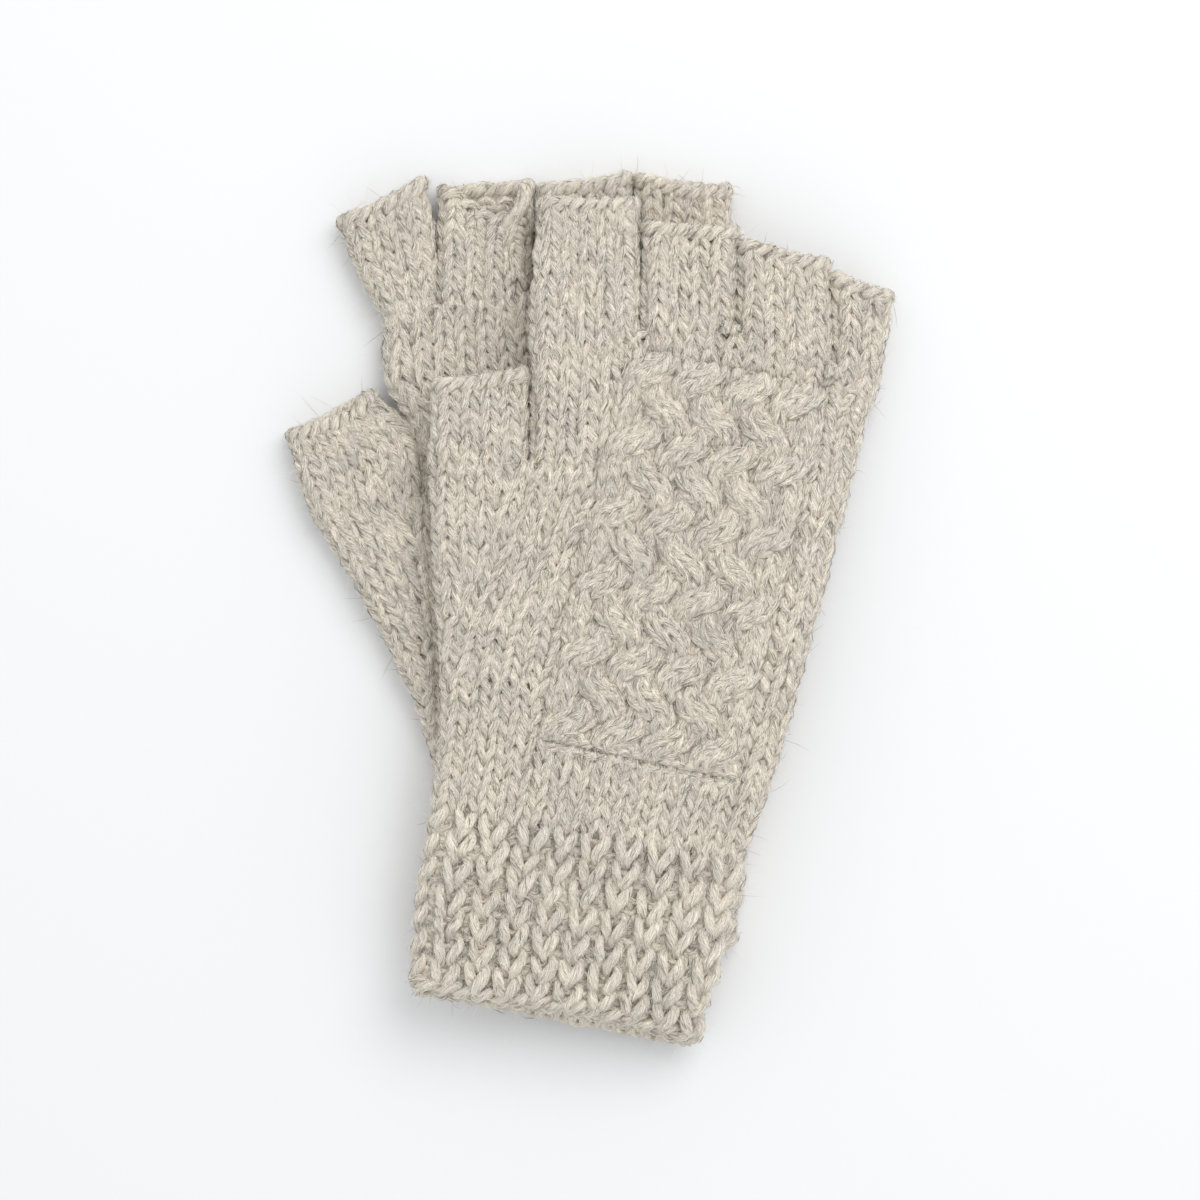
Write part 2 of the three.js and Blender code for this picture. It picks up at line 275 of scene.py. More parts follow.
class Tube:
    """The middle of the fabric of a flattened tube.  q runs round it: 0 to 1 over the top from left
    to right, 1 to 2 back underneath.  d is the distance along it in millimetres."""

    span = AROUND_SPAN
    facing = 1.0

    def __init__(self, stations, height, rise=None, sink=None):
        rows = np.array([tuple(s) + (0,) * (5 - len(s)) for s in stations], float)
        middle = (rows[:, 0:2] + rows[:, 2:4]) / 2
        steps = np.hypot(*np.diff(middle, axis=0).T)
        self.rows = rows
        self.at_station = np.concatenate([[0], np.cumsum(steps)])
        self.length = self.at_station[-1]
        self.slopes = np.gradient(rows, self.at_station, axis=0)
        self.height = height
        self.rise = rise
        self.sink = sink

    def section(self, d):
        """The station at distance d, on a smooth curve through the given ones."""
        knots = self.at_station
        i = np.clip(np.searchsorted(knots, d, side="right") - 1, 0, len(knots) - 2)
        gap = (knots[i + 1] - knots[i])[:, None]
        t = ((d - knots[i])[:, None]) / gap
        inside = np.clip(t, 0, 1)
        a, b = self.rows[i], self.rows[i + 1]
        ma, mb = self.slopes[i] * gap, self.slopes[i + 1] * gap
        t2, t3 = inside**2, inside**3
        value = (
            (2 * t3 - 3 * t2 + 1) * a
            + (t3 - 2 * t2 + inside) * ma
            + (3 * t2 - 2 * t3) * b
            + (t3 - t2) * mb
        )
        value += np.where(t < 0, ma, mb) * (t - inside)
        value[:, 4] = (a[:, 4] + (b[:, 4] - a[:, 4]) * inside[:, 0])
        return value.T

    def half_round(self, d):
        """The length of the fabric's middle over one face."""
        lx, ly, rx, ry, _ = self.section(d)
        return np.maximum(np.hypot(rx - lx, ry - ly) - 2 * FOLD, 0) + math.pi * CORE

    def at(self, q, d):
        lx, ly, rx, ry, sag = self.section(d)
        width = np.hypot(rx - lx, ry - ly)
        ux, uy = (rx - lx) / width, (ry - ly) / width
        turn = np.mod(q, 2)
        over = turn <= 1
        share = np.where(over, turn, 2 - turn)
        flat = np.maximum(width - 2 * FOLD, 0)
        walked = share * (flat + math.pi * CORE)
        quarter = math.pi * CORE / 2
        from_end = flat + 2 * quarter - walked
        angle = np.clip(np.minimum(walked, from_end) / CORE, 0, math.pi / 2)
        reach = CORE * np.cos(angle)
        along = FOLD + np.clip(walked - quarter, 0, flat)
        along = along + np.where(walked < from_end, -reach, reach)
        up = CORE * np.sin(angle) * np.where(over, 1, -1)
        droop = np.sin(math.pi * np.clip(along / width, 0, 1) ** SAG_SKEW)
        back = np.maximum(0, up / CORE) * sag * droop
        x = lx + ux * along + uy * back
        y = ly + uy * along - ux * back
        if self.rise is not None:
            xs, ys = zip(*self.rise)
            y = y + np.interp(x, xs, ys) * smooth(d / self.length)
        z = self.height(x, y) + up + swell(x, y) * np.clip(0.5 + up / CORE, 0, 1)
        if self.sink is not None:
            face, depth = self.sink
            z = z - face * depth(x, y) * np.clip(face * up / CORE, 0, 1)
        return np.stack([x, y, z], axis=-1)


def with_normals(surface, a, d):
    """Points of a surface and its outward normals."""
    here = surface.at(a, d)
    aside = NORMAL_STEP / surface.span
    across = surface.at(a + aside, d) - surface.at(a - aside, d)
    ahead = surface.at(a, d + NORMAL_STEP) - surface.at(a, d - NORMAL_STEP)
    return here, unit(np.cross(across, ahead)) * surface.facing


class Panel:
    """Local axes of a woven-look panel: x across it and y up it, on the outer face of the hand."""

    def __init__(self, corners, height, facing, level):
        bottom, top = np.array(corners, float)
        self.origin = bottom[0:2]
        self.width = np.hypot(*(bottom[2:4] - bottom[0:2]))
        self.tall = np.hypot(*(top[0:2] - bottom[0:2]))
        self.right = ((bottom[2:4] - bottom[0:2]) + (top[2:4] - top[0:2])) / 2 / self.width
        self.up = ((top[0:2] - bottom[0:2]) + (top[2:4] - bottom[2:4])) / 2 / self.tall
        self.height = height
        self.facing = facing
        self.level = level

    def place(self, across, along, out):
        x = self.origin[0] + self.right[0] * across + self.up[0] * along
        y = self.origin[1] + self.right[1] * across + self.up[1] * along
        z = self.height(x, y) + self.facing * (self.level + out) + swell(x, y)
        return np.stack([x, y, z], axis=-1)

    def local(self, x, y):
        dx, dy = x - self.origin[0], y - self.origin[1]
        det = self.right[0] * self.up[1] - self.right[1] * self.up[0]
        across = (dx * self.up[1] - dy * self.up[0]) / det
        along = (self.right[0] * dy - self.right[1] * dx) / det
        return across, along


# ---------------------------------------------------------------- yarn

TWIST = 0.28  # radians that the fibres turn about the yarn for each millimetre along it
FIBRE_SIDES = 3
FIBRE_JOINTS = 4
FIBRE_LIFT = (0.6, 0.4, 0.6, 1.0)  # at each joint
LONGEST_STRAY = 6.0
STRAY_FLATNESS = 0.55  # how much of its slope a stray fibre keeps when the glove is laid flat
# The dark loose fibres are partly the yarn's darker fibres, partly painted shade among the fibres.
SHADE_SHARES = (0.54, 0.24, 0.22)  # of the loose fibres: pale, middling and dark
ALONG_DENSITY = 2.8  # fibres along the yarn, for each point of its path
STRAY_DENSITY = 0.6  # and those that curl away from it
ALONG_STRIDE = (0.45, 1.15)  # points of the path between two joints of a fibre along the yarn
ALONG_RADIUS = (0.055, 0.11)
STRAY_RADIUS = (0.03, 0.05)
ALONG_LEVEL = 0.98  # shares of the yarn's radius at which the fibres lie
STRAY_ROOT = 0.8
HALO_FIBRES = 16000  # in one object
UNDERSIDE = -0.3  # yarn whose fabric faces up less than this is on the side of the table
UNDERSIDE_SHARE = 0.3  # of the fibres, that such yarn keeps


def closed_tube_faces(count, sides, joined):
    """Faces of a tube of rings: joined end to end, or with a cap on each end."""
    rows = np.arange(count if joined else count - 1)[:, None]
    spokes = np.arange(sides)[None, :]
    a = rows * sides + spokes
    b = rows * sides + (spokes + 1) % sides
    step = ((rows + 1) % count - rows) * sides
    faces = np.stack([a, b, b + step, a + step], axis=-1).reshape(-1, 4)
    if joined:
        return faces
    fans = range(1, sides - 2, 2)
    last = (count - 1) * sides
    start = [(0, j + 2, j + 1, j) for j in fans]
    end = [(last, last + j, last + j + 1, last + j + 2) for j in fans]
    return np.concatenate([faces, np.array(start + end, int).reshape(-1, 4)])


class Yarn:
    """Strands of yarn gathered into one mesh, with their loose fibres in objects of their own."""

    def __init__(self, seed):
        self.random = np.random.default_rng(seed)
        self.blocks = []  # vertices, faces, fibre coordinates and material number
        self.fibres = []  # paths and radii of the loose fibres
        # Along every strand: centre, tangent, outward normal, radius, how far the fabric there
        # faces up, and if it is joined end to end.
        self.roots = []

    def ripple(self, knots, at, size):
        """A smooth random signal that comes back to its start after so many knots."""
        values = self.random.normal(0, size, knots)
        low = np.floor(at).astype(int)
        share = smooth(at - low)
        return values[low % knots] * (1 - share) + values[(low + 1) % knots] * share

    def strand(self, centre, normal, radius, joined=False):
        """A tube of yarn along a path."""
        count = len(centre)
        if joined:
            tangent = unit(np.roll(centre, -1, axis=0) - np.roll(centre, 1, axis=0))
        else:
            tangent = unit(np.gradient(centre, axis=0))
        side = unit(np.cross(tangent, normal))
        out = np.cross(side, tangent)
        radius = np.array(np.broadcast_to(radius, (count,)), float)
        if not joined:
            radius[[0, -1]] *= 0.5
        angle = np.arange(YARN_SIDES) * (2 * math.pi / YARN_SIDES)
        ring = (
            out[:, None] * np.cos(angle)[None, :, None]
            + side[:, None] * np.sin(angle)[None, :, None]
        )
        vertices = (centre[:, None] + ring * radius[:, None, None]).reshape(-1, 3)
        steps = np.linalg.norm(np.diff(centre, axis=0), axis=1)
        along = np.concatenate([[0], np.cumsum(steps)]) + self.random.uniform(0, 900)
        turned = angle[None, :] + (along * TWIST)[:, None]
        length = np.broadcast_to(along[:, None], turned.shape)
        fibre = np.stack([np.cos(turned) * YARN, np.sin(turned) * YARN, length], axis=-1)
        faces = closed_tube_faces(count, YARN_SIDES, joined)
        self.blocks.append((vertices, faces, fibre.reshape(-1, 3), 0))
        self.roots.append((centre, tangent, out, radius, normal[:, 2], joined))

    def lining(self, tube):
        """A thin closed layer in the middle of the fabric, which shows between the stitches; its wool
        is darker than the yarn's, painted shade in those gaps.
        """
        around, rows = 2 * LINING_STEPS, max(3, int(tube.length / LINING_ROW))
        q = np.linspace(0, 2, around, endpoint=False)
        d = np.linspace(0, tube.length, rows)
        qq, dd = np.meshgrid(q, d)
        middle, normal = with_normals(tube, qq.ravel(), dd.ravel())
        outer = (middle + normal * LINING_OUT).reshape(rows, around, 3)
        inner = (middle - normal * LINING_IN).reshape(rows, around, 3)
        rings = np.concatenate([outer, inner[::-1]])
        faces = closed_tube_faces(2 * rows, around, True)
        vertices = rings.reshape(-1, 3)
        self.blocks.append((vertices, faces, vertices.copy(), 1))

    def pick(self, density):
        """Random points on the strands, fewer of them on the side that faces the table."""
        counts = [len(root[0]) for root in self.roots]
        starts = np.concatenate([[0], np.cumsum(counts)[:-1]])
        count = int(sum(counts) * density)
        strand = np.repeat(np.arange(len(counts)), counts)
        chosen = self.random.integers(0, sum(counts), count)
        facing = np.concatenate([root[4] for root in self.roots])[chosen]
        kept = self.random.random(count) < np.where(facing > UNDERSIDE, 1, UNDERSIDE_SHARE)
        chosen = chosen[kept]
        owner = strand[chosen]
        return chosen, starts[owner], np.array(counts)[owner]

    def along_fibres(self, density):
        """Fibres that lie along the yarn and lift off it at their tips."""
        centre, tangent, out, radius = (np.concatenate(p) for p in list(zip(*self.roots))[:4])
        joined = np.array([root[5] for root in self.roots])
        counts = [len(root[0]) for root in self.roots]
        loops = np.repeat(joined, counts)
        chosen, start, size = self.pick(density)
        draw = self.random
        many = len(chosen)
        stride = draw.uniform(*ALONG_STRIDE, many)
        angle = draw.normal(0, 1.0, many)
        drift = draw.normal(-TWIST, 0.25, many)
        lift = np.abs(draw.normal(0.0, 0.5, (many, FIBRE_JOINTS))) * FIBRE_LIFT
        path = []
        for joint in range(FIBRE_JOINTS):
            at = chosen - start + stride * joint
            low = np.floor(at).astype(int)
            share = (at - low)[:, None]
            wrap = loops[chosen]
            first = np.where(wrap, low % size, np.clip(low, 0, size - 1)) + start
            second = np.where(wrap, (low + 1) % size, np.clip(low + 1, 0, size - 1)) + start
            turn = (angle + drift * joint * stride)[:, None]
            ways = []
            for index in (first, second):
                side = np.cross(tangent[index], out[index])
                radial = out[index] * np.cos(turn) + side * np.sin(turn)
                reach = radius[index] * ALONG_LEVEL + lift[:, joint]
                ways.append(centre[index] + radial * reach[:, None])
            path.append(ways[0] * (1 - share) + ways[1] * share)
        path = np.stack(path, axis=1)
        self.fibres.append((path, draw.uniform(*ALONG_RADIUS, many)))

    def stray_fibres(self, density):
        """Long loose fibres that curl away from the yarn."""
        centre, tangent, out, radius = (np.concatenate(p) for p in list(zip(*self.roots))[:4])
        chosen, _, _ = self.pick(density)
        draw = self.random
        many = len(chosen)
        tangent, out = tangent[chosen], out[chosen]
        turn = draw.normal(0, 0.9, many)[:, None]
        radial = out * np.cos(turn) + np.cross(tangent, out) * np.sin(turn)
        root = centre[chosen] + radial * (radius[chosen] * STRAY_ROOT)[:, None]
        sign = draw.choice([-1.0, 1.0], many)[:, None]
        heading = unit(
            radial * draw.uniform(0.2, 0.9, many)[:, None]
            + tangent * sign * draw.uniform(0.3, 1.0, many)[:, None]
            + draw.normal(0, 0.4, (many, 3))
        )
        heading[:, 2] *= STRAY_FLATNESS
        curl = draw.normal(0, 0.6, (many, 3)) - radial * 0.3
        reach = np.minimum(draw.gamma(2.0, 1.2, many) + 0.8, LONGEST_STRAY)[:, None, None]
        share = np.linspace(0, 1, FIBRE_JOINTS)[None, :, None]
        path = root[:, None] + heading[:, None] * (reach * share) + curl[:, None] * (reach * share**2)
        self.fibres.append((path, draw.uniform(*STRAY_RADIUS, many)))

    def spindles(self, path, radius):
        """Thin closed fibres along four-point paths, pointed at both ends."""
        many = len(path)
        along = unit(path[:, 3] - path[:, 0])
        across = unit(np.cross(along, unit(path[:, 1] - path[:, 0]) + 0.013))
        over = np.cross(across, along)
        turn = np.arange(FIBRE_SIDES) * (2 * math.pi / FIBRE_SIDES)
        ring = (
            across[:, None] * np.cos(turn)[None, :, None]
            + over[:, None] * np.sin(turn)[None, :, None]
        )
        ring = ring * radius[:, None, None]
        vertices = np.concatenate(
            [path[:, 0:1], path[:, 1:2] + ring, path[:, 2:3] + ring, path[:, 3:4]], axis=1
        )
        tip = 2 * FIBRE_SIDES + 1
        first, second, sides = [], [], []
        for k in range(FIBRE_SIDES):
            n = (k + 1) % FIBRE_SIDES
            first.append((0, 1 + n, 1 + k))
            second.append((tip, 1 + FIBRE_SIDES + k, 1 + FIBRE_SIDES + n))
            sides.append((1 + k, 1 + n, 1 + FIBRE_SIDES + n, 1 + FIBRE_SIDES + k))
        offset = (np.arange(many) * (tip + 1))[:, None, None]
        points = vertices.reshape(-1, 3)
        shades = self.random.choice(len(SHADE_SHARES), many, p=SHADE_SHARES)
        blocks = []
        for faces in (first + second, sides):
            grown = np.array(faces)[None] + offset
            number = np.repeat(shades, len(faces))
            blocks.append((points, grown.reshape(-1, grown.shape[-1]), number))
            points = points[:0]
        return blocks

    def halo_pieces(self, name):
        """The loose fibres, in objects that each hold a fair number of them."""
        paths = np.concatenate([path for path, _ in self.fibres])
        radii = np.concatenate([radius for _, radius in self.fibres])
        parts = math.ceil(len(paths) / HALO_FIBRES)
        return [
            mesh_piece(f"halo_{name}_{part + 1}", self.spindles(*both), HALO)
            for part, both in enumerate(
                zip(np.array_split(paths, parts), np.array_split(radii, parts))
            )
        ]

    def piece(self, name, materials):
        """One mesh object of all the strands and linings, with the coordinates of its fibres."""
        blocks = [(v, f, np.full(len(f), number)) for v, f, _, number in self.blocks]
        shown = mesh_piece(name, blocks, materials)
        fibre = np.concatenate([block[2] for block in self.blocks])
        place = np.concatenate([block[0] for block in self.blocks])
        for label, values in (("fibre", fibre), ("place", place)):
            layer = shown.data.attributes.new(label, "FLOAT_VECTOR", "POINT")
            layer.data.foreach_set("vector", values.astype(np.float32).ravel())
        return shown


def pressed(points):
    """The points with everything that would reach the table, or lie under it, squeezed above it."""
    low = points[:, 2] < PRESSED_HEIGHT
    points[low, 2] = PRESSED_HEIGHT / (2 - points[low, 2] / PRESSED_HEIGHT)
    return points


def add_object(name, data):
    """A new object in the scene."""
    made = bpy.data.objects.new(name, data)
    bpy.context.scene.collection.objects.link(made)
    return made


def mesh_piece(name, blocks, materials):
    """A mesh object of blocks of vertices, faces and face materials, in metres in the frame's axes.
    A block without vertices goes on with those of the block before it."""
    vertices, corners, sizes, numbers = [], [], [], []
    start = total = 0
    for points, faces, number in blocks:
        if len(points):
            start = total
            total += len(points)
            vertices.append(points)
        corners.append((faces + start).ravel())
        sizes.append(np.full(len(faces), faces.shape[1]))
        numbers.append(number)
    vertices = pressed(np.concatenate(vertices))
    vertices = (vertices + ORIGIN) * MM
    corners, sizes, numbers = (np.concatenate(p) for p in (corners, sizes, numbers))
    mesh = bpy.data.meshes.new(name)
    mesh.vertices.add(len(vertices))
    mesh.vertices.foreach_set("co", vertices.astype(np.float32).ravel())
    mesh.loops.add(len(corners))
    mesh.loops.foreach_set("vertex_index", corners.astype(np.int32))
    mesh.polygons.add(len(sizes))
    firsts = np.concatenate([[0], np.cumsum(sizes)[:-1]])
    mesh.polygons.foreach_set("loop_start", firsts.astype(np.int32))
    for material in materials:
        mesh.materials.append(material)
    mesh.polygons.foreach_set("material_index", numbers.astype(np.int32))
    mesh.update(calc_edges=True)
    mesh.shade_smooth()
    return add_object(name, mesh)


# ---------------------------------------------------------------- stitches


# How much stitches differ: the sizes of the random ripples in their places across and ahead, in how
# far out they lie, and in the thickness of the yarn.
KNIT_UNEVEN = {"across": 0.055, "ahead": 0.09, "thick": 0.07, "out": 0.14}
RIB_UNEVEN = {"across": 0.1, "ahead": 0.9, "out": 0.25, "thick": 0.07}
STRAND_UNEVEN = {"across": 0.05, "ahead": 0.09, "thick": 0.06}
ROPE_UNEVEN = {"out": 0.12, "thick": 0.06}


def loop_path(turns, relief=RELIEF):
    """The path of plain stitches: across in stitches, ahead in courses and outwards."""
    phase = turns * 2 * math.pi
    across = turns + LEAN * np.sin(2 * phase)
    return across, -LOOP * np.cos(phase), -relief * np.cos(2 * phase)


class Courses:
    """How the stitches of one course share out the way round a tube."""

    span = AROUND_SPAN
    facing = 1.0

    def __init__(self, tube, around, gusset=None):
        self.tube = tube
        self.front = around
        self.gusset = gusset
        self.extra = 0

    def begin(self, d):
        """Counts the gusset's stitches in the course at distance d."""
        if self.gusset is None:
            return
        share = np.interp(d, self.tube.at_station, self.gusset)
        wide = self.tube.half_round(np.array([float(d)]))[0]
        self.extra = int(round(share * wide / WALE))

    def front_share(self, a, d):
        if self.extra == 0:
            return a / self.front
        share = np.interp(d, self.tube.at_station, self.gusset)
        stitch = WALE / self.tube.half_round(d)
        last = (self.extra - 1) * stitch
        return np.where(
            a <= self.extra - 1,
            a * stitch,
            np.where(
                a <= self.extra,
                last + (share - last) * (a - self.extra + 1),
                share + (a - self.extra) / self.front * (1 - share),
            ),
        )

    def total(self):
        return self.front + self.extra

    def at(self, a, d):
        half = self.total()
        turn = np.mod(a, 2 * half)
        back = turn > half
        q = self.front_share(np.where(back, 2 * half - turn, turn), d)
        return self.tube.at(np.where(back, 2 - q, q), d)


def knit_round(yarn, courses, first, rows, row_height, level=0.0, relief=RELIEF, thick=YARN):
    """Courses of plain stitches, each a closed loop of yarn round the tube.  With a relief below 0
    the purl side of the fabric is outside, and level moves it outwards."""
    for row in range(rows):
        middle = first + (row + 0.5) * row_height
        courses.begin(middle)
        count = 2 * courses.total()
        turns = np.linspace(0, count, count * STITCH_SEGMENTS, endpoint=False)
        across, ahead, out = loop_path(turns, relief=relief)
        across = across + yarn.ripple(count, turns, KNIT_UNEVEN["across"])
        ahead = ahead + yarn.ripple(count, turns, KNIT_UNEVEN["ahead"])
        uneven = yarn.ripple(count, turns, KNIT_UNEVEN["thick"])
        radius = thick * (1 + LEG_SWELL * out / relief + uneven)
        out = level + out + yarn.ripple(count, turns, KNIT_UNEVEN["out"])
        d = middle + ahead * row_height
        base, normal = with_normals(courses, across, d)
        yarn.strand(base + normal * out[:, None], normal, radius, joined=True)


# The twisted edges: the radius of the yarn, how far each strand lies from the middle of the twist,
# and how far that lies outside the fabric.
CAST_OFF = {"thick": YARN * 1.02, "offset": 1.15, "lift": 0.35}
CAST_ON = {"thick": YARN * 1.1, "offset": 1.2, "lift": 0.2}
CAST_OFF_PAST = 0.9  # from the end of a tube's stitches to the middle of its edge
CAST_ON_START = 1.2  # from the first station of the cuff to the middle of its edge
EDGE_TWISTS = 1.4  # half turns of a finger's edge for each stitch
CAST_ON_TWISTS = 0.85  # full turns of the cuff's edge for each rib
ROPE_SEGMENTS = 8  # in a half turn
ROPE_AHEAD = 0.5  # how far along the tube a second point gives its direction


def rope(yarn, tube, d, lobes, thick, offset, lift):
    """A two-strand twist round a tube's end, as a worked edge looks."""
    steps = lobes * ROPE_SEGMENTS
    share = np.linspace(0, 1, steps, endpoint=False)
    middle, normal = with_normals(tube, share * 2, np.full(steps, d))
    ahead = unit(tube.at(share * 2, np.full(steps, d + ROPE_AHEAD)) - middle)
    phase = share * math.pi * lobes
    wave = yarn.ripple(lobes, share * lobes, ROPE_UNEVEN["out"])
    for start in (0, math.pi):
        turn = phase + start
        centre = (
            middle
            + normal * (np.cos(turn) * offset + lift + wave)[:, None]
            + ahead * (np.sin(turn) * offset + wave)[:, None]
        )
        radius = thick * (1 + yarn.ripple(lobes, share * lobes, ROPE_UNEVEN["thick"]))
        yarn.strand(centre, normal, radius, joined=True)


BOBBLE = 1.5  # radius of the ball that a knot of yarn is wound on
BOBBLE_TURNS = 1.8
BOBBLE_YARN = 1.15
BOBBLE_LEVEL = CORE + 1.9  # above the middle of the glove
BOBBLE_POINTS = 40


def bobble(yarn, height, x, y):
    """A small knot of yarn on the upper face, where stitches were picked up for a finger."""
    share = np.linspace(0, 1, BOBBLE_POINTS)
    around, down = share * BOBBLE_TURNS * 2 * math.pi, share * math.pi
    outward = np.stack(
        [np.cos(down), np.sin(down) * np.cos(around), np.sin(down) * np.sin(around)], axis=-1
    )
    level = height(np.array([float(x)]), np.array([float(y)]))[0] + BOBBLE_LEVEL
    yarn.strand(np.array([x, y, level]) + outward * BOBBLE, outward, BOBBLE_YARN)


# ---------------------------------------------------------------- rib of the cuff

# One rib stitch: across and ahead in millimetres from the foot of its rib, outwards, and thickness.
# It comes out of the valley on the left, climbs the left leg, goes behind the stitch above and
# comes down the right leg.
RIB_STITCH = (
    (-4.45, 2.4, -1.3, 0.85),
    (-2.2, -0.9, -1.3, 0.85),
    (-0.8, 0.5, 0.2, 0.95),
    (-1.6, 3.6, 1.2, 1.15),
    (-2.4, 6.9, 0.7, 1.0),
    (-1.4, 9.0, -0.9, 0.85),
    (1.0, 9.0, -1.1, 0.85),
    (2.9, 7.0, 0.4, 1.0),
    (2.2, 4.3, 1.4, 1.25),
    (0.6, 1.4, 1.2, 1.12),
    (1.3, -0.9, -1.1, 0.85),
)
RIB_SMOOTH = 3  # points of the path for each of those
RIB_START = 1.0  # from the first station of the cuff to its first course


def rib_round(yarn, tube, ribs, rows, row_height):
    """Courses of chunky rib stitches on a ground of purl stitches, which shows between them."""
    ground = int(round(tube.length / GROUND_COURSE))
    knit_round(
        yarn,
        Courses(tube, ribs),
        0,
        ground,
        tube.length / ground,
        level=GROUND_LEVEL,
        relief=GROUND_RELIEF,
        thick=GROUND_YARN,
    )
    shape = np.array(RIB_STITCH)
    points = len(shape)
    stretch = row_height / RIB_COURSE
    scaled = Scaled(tube, ribs)
    for row in range(rows):
        base = RIB_START + row * row_height
        steps = ribs * points * RIB_SMOOTH
        at = np.arange(steps) / RIB_SMOOTH
        low = np.floor(at).astype(int)
        corner = [knot(shape, low + k) for k in (-1, 0, 1, 2)]
        path = catmull(corner, (at - low)[:, None])
        turns = at / points
        lean = yarn.ripple(ribs, turns, RIB_UNEVEN["across"])
        across = path[:, 0] / RIB + lean
        d = base + path[:, 1] * stretch + yarn.ripple(ribs, turns, RIB_UNEVEN["ahead"])
        out = path[:, 2] + yarn.ripple(ribs, turns, RIB_UNEVEN["out"])
        radius = RIB_YARN * path[:, 3] * (1 + yarn.ripple(ribs, turns, RIB_UNEVEN["thick"]))
        middle, normal = with_normals(scaled, across, d)
        yarn.strand(middle + normal * out[:, None], normal, radius, joined=True)


def knot(shape, index):
    """Corner number index of the repeated rib stitch, moved on by a rib at each repeat."""
    count = len(shape)
    corner = shape[index % count].copy()
    corner[:, 0] += RIB * (index // count)
    return corner


def catmull(corner, t):
    """A smooth curve from the second of four corners to the third."""
    a, b, c, d = corner
    return 0.5 * (
        2 * b
        + (c - a) * t
        + (2 * a - 5 * b + 4 * c - d) * t**2
        + (3 * b - a - 3 * c + d) * t**3
    )


class Scaled:
    """A tube with its way round counted in ribs."""

    span = AROUND_SPAN
    facing = 1.0

    def __init__(self, tube, ribs):
        self.tube = tube
        self.ribs = ribs

    def at(self, a, d):
        return self.tube.at(2 * a / self.ribs, d)


# ---------------------------------------------------------------- woven-look panel

STRANDS = 8
CROSSING = 10.0  # from one row of crossings to the next
CROSS_SHARE = 0.36  # half of a crossing's length, as a share of that
STRAND_COURSE = 3.8  # height of one stitch of a strand
STRAND_RELIEF = 0.75
STRAND_STEPS = 24  # points of a strand's path for each row of crossings
STRAND_AHEAD = 0.8  # how far along it on each side its direction is taken
CROSS_HUMP = 0.62  # half of a hump's length, as a share of a row of crossings
STRAND_CROWN = 0.16  # how fast its face falls away to its sides
PANEL_LEVEL = THICKNESS / 2 - 1.6  # of the middle of the strands, from the middle of the glove
PANEL_SINK = 1.6  # how far the fabric under a panel lies back from the face of the hand
PANEL_MARGIN = 2.8  # how far outside the panel it starts to fall away
PANEL_RAMP = 2.4  # how far it takes to do so

# The row of purl bumps under the panel.
PURL_WIDTH = 3.4
PURL_HEIGHT = 1.6
PURL_RELIEF = 0.9
PURL_YARN = YARN * 0.95
PURL_SEGMENTS = 12
PURL_ALONG = -1.2
PURL_OUT = -0.2


class Strand:
    """One two-stitch strand of the panel: a is stitches across it and d the distance along it."""

    span = STRAND_SPAN

    def __init__(self, panel, slot, over, under):
        self.panel = panel
        self.facing = panel.facing
        pitch = panel.width / STRANDS
        rows = int(round(panel.tall / CROSSING))
        row_height = panel.tall / rows
        y = np.linspace(0, panel.tall, rows * STRAND_STEPS + 1)
        x = np.full_like(y, (slot + 0.5) * pitch)
        z = np.zeros_like(y)
        place = slot
        for row in range(rows):
            partner = place + 1 if (place + row) % 2 == 0 else place - 1
            middle = (row + 0.5) * row_height
            if not 0 <= partner < STRANDS:
                continue
            share = smooth((y - middle) / (2 * CROSS_SHARE * row_height) + 0.5)
            x = x + share * (partner - place) * pitch
            rightward = partner > place
            on_top = rightward == (row % 2 == 0)
            near = np.clip(1 - np.abs(y - middle) / (CROSS_HUMP * row_height), 0, 1)
            z = z + smooth(near) * (over if on_top else -under)
            place = partner
        steps = np.hypot(np.diff(x), np.diff(y))
        self.walked = np.concatenate([[0], np.cumsum(steps)])
        self.x, self.y, self.z = x, y, z
        self.length = self.walked[-1]
        self.wide = pitch / 2

    def at(self, a, d):
        x, y, z = (np.interp(d, self.walked, v) for v in (self.x, self.y, self.z))
        x2, y2 = (np.interp(d + STRAND_AHEAD, self.walked, v) for v in (self.x, self.y))
        x1, y1 = (np.interp(d - STRAND_AHEAD, self.walked, v) for v in (self.x, self.y))
        dx, dy = x2 - x1, y2 - y1
        size = np.maximum(np.hypot(dx, dy), 1e-6)
        aside = (a - 1) * self.wide
        crown = -STRAND_CROWN * aside**2
        return self.panel.place(x + dy / size * aside, y - dx / size * aside, z + crown)


def knit_strand(yarn, strand):
    """The stitches of one strand, each course a short piece of yarn across it."""
    rows = int(strand.length / STRAND_COURSE)
    height = strand.length / rows
    turns = np.linspace(0, 2, 2 * STITCH_SEGMENTS + 1)
    for row in range(rows):
        across, ahead, out = loop_path(turns, relief=STRAND_RELIEF)
        across = across + yarn.ripple(3, turns, STRAND_UNEVEN["across"])
        ahead = ahead + yarn.ripple(3, turns, STRAND_UNEVEN["ahead"])
        d = (row + 0.5) * height + ahead * height
        d = np.clip(d, 0, strand.length)
        middle, normal = with_normals(strand, across, d)
        uneven = yarn.ripple(3, turns, STRAND_UNEVEN["thick"])
        radius = YARN * (1 + LEG_SWELL * out / STRAND_RELIEF + uneven)
        yarn.strand(middle + normal * out[:, None], normal, radius)


